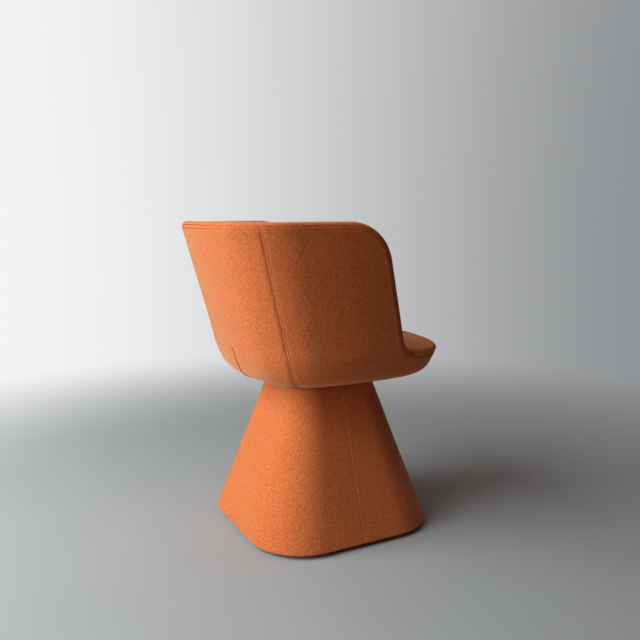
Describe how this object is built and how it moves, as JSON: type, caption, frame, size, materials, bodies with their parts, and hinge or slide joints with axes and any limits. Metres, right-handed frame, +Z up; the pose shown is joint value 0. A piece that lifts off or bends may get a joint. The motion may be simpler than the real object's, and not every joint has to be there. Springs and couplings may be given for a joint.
{
  "type": "swivel chair",
  "caption": "Upholstered tub chair: a rounded wrap-around seat and back in orange wool that turns without stops on a tapered, covered pedestal.",
  "frame": {"origin": "on the floor, on the swivel axis, under the middle of the pedestal", "axes": "+Z up from the floor; the sitter looks along -Y, and the sitter's right hand is at -X"},
  "size_m": [0.5332, 0.6082, 0.77],
  "materials": {
    "orange_wool": "felted melange wool",
    "black_lining": "non-woven",
    "foam": "open-cell foam",
    "moulded_shell": "moulded",
    "plywood": "raw birch plywood",
    "skin_board": "raw hardboard",
    "zinc_plate": "zinc plated",
    "zinc_screws": "zinc plated",
    "bearing_steel": "ground",
    "cage_nylon": "moulded nylon",
    "glide_plastic": "satin"
  },
  "bodies": {
    "base": {"glides": "glide_plastic", "glide_screws": "zinc_screws", "base_bottom_board": "plywood", "base_top_board": "plywood", "base_rib_along": "plywood", "base_rib_across": "plywood", "base_frame_screws": "zinc_screws", "base_skin": "skin_board", "base_foam": "foam", "base_cover_front": "orange_wool", "base_cover_rear": "orange_wool", "base_dust_cloth": "black_lining", "swivel_lower_plate": "zinc_plate", "lower_race": "bearing_steel", "king_pin": "bearing_steel", "pin_washer": "zinc_plate", "pin_locknut": "zinc_plate", "lower_plate_bolts": "zinc_screws", "lower_tee_nuts": "zinc_plate"},
    "cage": {"bearing_balls": "bearing_steel", "ball_cage": "cage_nylon"},
    "seat": {"upper_race": "bearing_steel", "swivel_upper_plate": "zinc_plate", "pin_bush": "cage_nylon", "upper_plate_bolts": "zinc_screws", "upper_tee_nuts": "zinc_plate", "shell_frame": "moulded_shell", "seat_board": "plywood", "seat_board_screws": "zinc_screws", "tub_foam": "foam", "inner_cover": "orange_wool", "outer_cover_rear": "orange_wool", "outer_cover_left": "orange_wool", "outer_cover_right": "orange_wool", "closing_fly": "orange_wool", "seat_pad": "foam", "seat_cover": "orange_wool"}
  },
  "joints": [
    {"name": "seat_swivel", "type": "hinge", "parent": "base", "child": "seat", "pos_m": [0, 0, 0.376], "axis": [0, 0, 1], "continuous": true},
    {"name": "cage_turn", "type": "hinge", "parent": "base", "child": "cage", "pos_m": [0, 0, 0.376], "axis": [0, 0, 1], "continuous": true}
  ],
  "couplings": [
    {"joint": "cage_turn", "follows": "seat_swivel", "ratio": 0.5}
  ]
}
